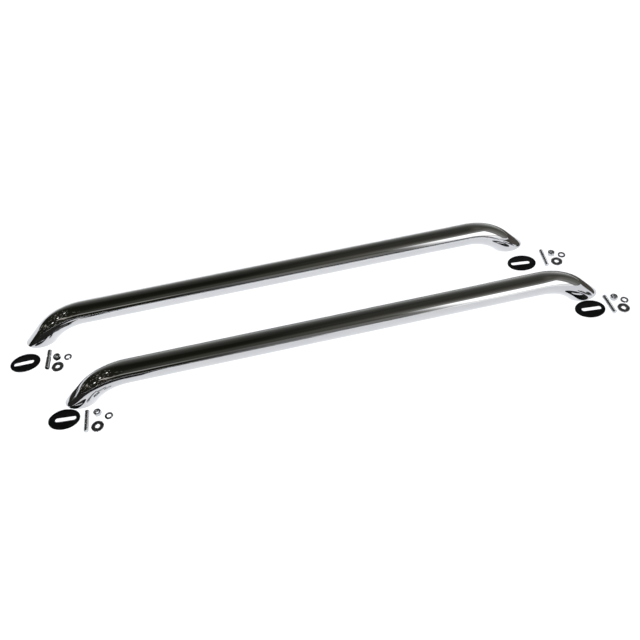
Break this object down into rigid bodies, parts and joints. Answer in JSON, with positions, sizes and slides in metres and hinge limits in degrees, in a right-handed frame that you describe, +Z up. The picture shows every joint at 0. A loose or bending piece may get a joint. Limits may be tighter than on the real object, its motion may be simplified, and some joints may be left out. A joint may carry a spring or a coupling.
{
  "type": "truck bed side rail kit",
  "caption": "Bent chrome tube side rails for a truck bed, standing on flat-cut feet, with slotted rubber gaskets, studs, nuts and washers laid out beside them.",
  "frame": {"origin": "on the floor, midway between the two feet of the near rail, at the middle of its slotted stud pattern", "axes": "+X along the rails, towards the end that is farther from the camera; +Y from the near rail to the far rail; +Z up, from the feet to the tube"},
  "size_m": [1.3528, 0.3131, 0.0839],
  "materials": {
    "tube_chrome": "mirror-polished chrome plate",
    "plate_steel": "plated mild steel plate, dull",
    "guide_steel": "bent sheet steel, dull plating",
    "slide_nut_steel": "zinc-plated pressed nut",
    "gasket_rubber": "moulded matt black rubber",
    "stud_zinc": "bright zinc-plated thread",
    "hex_nut_zinc": "bright zinc plate",
    "lock_washer_steel": "grey zinc-plated spring steel",
    "flat_washer_steel": "dark grey plated steel, satin"
  },
  "bodies": {
    "near_rail": {"near_rail_tube": "tube_chrome", "near_left_foot_plate": "plate_steel", "near_left_nut_guides": "guide_steel", "near_right_foot_plate": "plate_steel", "near_right_nut_guides": "guide_steel"},
    "far_rail": {"far_rail_tube": "tube_chrome", "far_left_foot_plate": "plate_steel", "far_left_nut_guides": "guide_steel", "far_right_foot_plate": "plate_steel", "far_right_nut_guides": "guide_steel"},
    "near_left_slide_nut": {"near_left_slide_nut": "slide_nut_steel"},
    "near_right_slide_nut": {"near_right_slide_nut": "slide_nut_steel"},
    "far_left_slide_nut": {"far_left_slide_nut": "slide_nut_steel"},
    "far_right_slide_nut": {"far_right_slide_nut": "slide_nut_steel"},
    "near_left_gasket": {"near_left_gasket": "gasket_rubber"},
    "near_left_stud": {"near_left_stud": "stud_zinc"},
    "near_left_hex_nut": {"near_left_hex_nut": "hex_nut_zinc"},
    "near_left_lock_washer": {"near_left_lock_washer": "lock_washer_steel"},
    "near_left_flat_washer": {"near_left_flat_washer": "flat_washer_steel"},
    "near_right_gasket": {"near_right_gasket": "gasket_rubber"},
    "near_right_stud": {"near_right_stud": "stud_zinc"},
    "near_right_hex_nut": {"near_right_hex_nut": "hex_nut_zinc"},
    "near_right_lock_washer": {"near_right_lock_washer": "lock_washer_steel"},
    "near_right_flat_washer": {"near_right_flat_washer": "flat_washer_steel"},
    "far_left_gasket": {"far_left_gasket": "gasket_rubber"},
    "far_left_stud": {"far_left_stud": "stud_zinc"},
    "far_left_hex_nut": {"far_left_hex_nut": "hex_nut_zinc"},
    "far_left_lock_washer": {"far_left_lock_washer": "lock_washer_steel"},
    "far_left_flat_washer": {"far_left_flat_washer": "flat_washer_steel"},
    "far_right_gasket": {"far_right_gasket": "gasket_rubber"},
    "far_right_stud": {"far_right_stud": "stud_zinc"},
    "far_right_hex_nut": {"far_right_hex_nut": "hex_nut_zinc"},
    "far_right_lock_washer": {"far_right_lock_washer": "lock_washer_steel"},
    "far_right_flat_washer": {"far_right_flat_washer": "flat_washer_steel"}
  },
  "joints": [
    {"name": "far_rail_lift", "type": "slide", "parent": "near_rail", "child": "far_rail", "axis": [0, 0, 1], "range_m": [0, 0.15]},
    {"name": "near_left_nut_slide", "type": "slide", "parent": "near_rail", "child": "near_left_slide_nut", "axis": [1, 0, 0], "range_m": [-0.014, 0.014]},
    {"name": "near_right_nut_slide", "type": "slide", "parent": "near_rail", "child": "near_right_slide_nut", "axis": [1, 0, 0], "range_m": [-0.014, 0.014]},
    {"name": "far_left_nut_slide", "type": "slide", "parent": "far_rail", "child": "far_left_slide_nut", "axis": [1, 0, 0], "range_m": [-0.014, 0.014]},
    {"name": "far_right_nut_slide", "type": "slide", "parent": "far_rail", "child": "far_right_slide_nut", "axis": [1, 0, 0], "range_m": [-0.014, 0.014]},
    {"name": "near_left_gasket_lift", "type": "slide", "parent": "near_rail", "child": "near_left_gasket", "axis": [0, 0, 1], "range_m": [0, 0.15]},
    {"name": "near_left_stud_lift", "type": "slide", "parent": "near_rail", "child": "near_left_stud", "axis": [0, 0, 1], "range_m": [0, 0.15]},
    {"name": "near_left_hex_nut_lift", "type": "slide", "parent": "near_rail", "child": "near_left_hex_nut", "axis": [0, 0, 1], "range_m": [0, 0.15]},
    {"name": "near_left_lock_washer_lift", "type": "slide", "parent": "near_rail", "child": "near_left_lock_washer", "axis": [0, 0, 1], "range_m": [0, 0.15]},
    {"name": "near_left_flat_washer_lift", "type": "slide", "parent": "near_rail", "child": "near_left_flat_washer", "axis": [0, 0, 1], "range_m": [0, 0.15]},
    {"name": "near_right_gasket_lift", "type": "slide", "parent": "near_rail", "child": "near_right_gasket", "axis": [0, 0, 1], "range_m": [0, 0.15]},
    {"name": "near_right_stud_lift", "type": "slide", "parent": "near_rail", "child": "near_right_stud", "axis": [0, 0, 1], "range_m": [0, 0.15]},
    {"name": "near_right_hex_nut_lift", "type": "slide", "parent": "near_rail", "child": "near_right_hex_nut", "axis": [0, 0, 1], "range_m": [0, 0.15]},
    {"name": "near_right_lock_washer_lift", "type": "slide", "parent": "near_rail", "child": "near_right_lock_washer", "axis": [0, 0, 1], "range_m": [0, 0.15]},
    {"name": "near_right_flat_washer_lift", "type": "slide", "parent": "near_rail", "child": "near_right_flat_washer", "axis": [0, 0, 1], "range_m": [0, 0.15]},
    {"name": "far_left_gasket_lift", "type": "slide", "parent": "near_rail", "child": "far_left_gasket", "axis": [0, 0, 1], "range_m": [0, 0.15]},
    {"name": "far_left_stud_lift", "type": "slide", "parent": "near_rail", "child": "far_left_stud", "axis": [0, 0, 1], "range_m": [0, 0.15]},
    {"name": "far_left_hex_nut_lift", "type": "slide", "parent": "near_rail", "child": "far_left_hex_nut", "axis": [0, 0, 1], "range_m": [0, 0.15]},
    {"name": "far_left_lock_washer_lift", "type": "slide", "parent": "near_rail", "child": "far_left_lock_washer", "axis": [0, 0, 1], "range_m": [0, 0.15]},
    {"name": "far_left_flat_washer_lift", "type": "slide", "parent": "near_rail", "child": "far_left_flat_washer", "axis": [0, 0, 1], "range_m": [0, 0.15]},
    {"name": "far_right_gasket_lift", "type": "slide", "parent": "near_rail", "child": "far_right_gasket", "axis": [0, 0, 1], "range_m": [0, 0.15]},
    {"name": "far_right_stud_lift", "type": "slide", "parent": "near_rail", "child": "far_right_stud", "axis": [0, 0, 1], "range_m": [0, 0.15]},
    {"name": "far_right_hex_nut_lift", "type": "slide", "parent": "near_rail", "child": "far_right_hex_nut", "axis": [0, 0, 1], "range_m": [0, 0.15]},
    {"name": "far_right_lock_washer_lift", "type": "slide", "parent": "near_rail", "child": "far_right_lock_washer", "axis": [0, 0, 1], "range_m": [0, 0.15]},
    {"name": "far_right_flat_washer_lift", "type": "slide", "parent": "near_rail", "child": "far_right_flat_washer", "axis": [0, 0, 1], "range_m": [0, 0.15]}
  ]
}
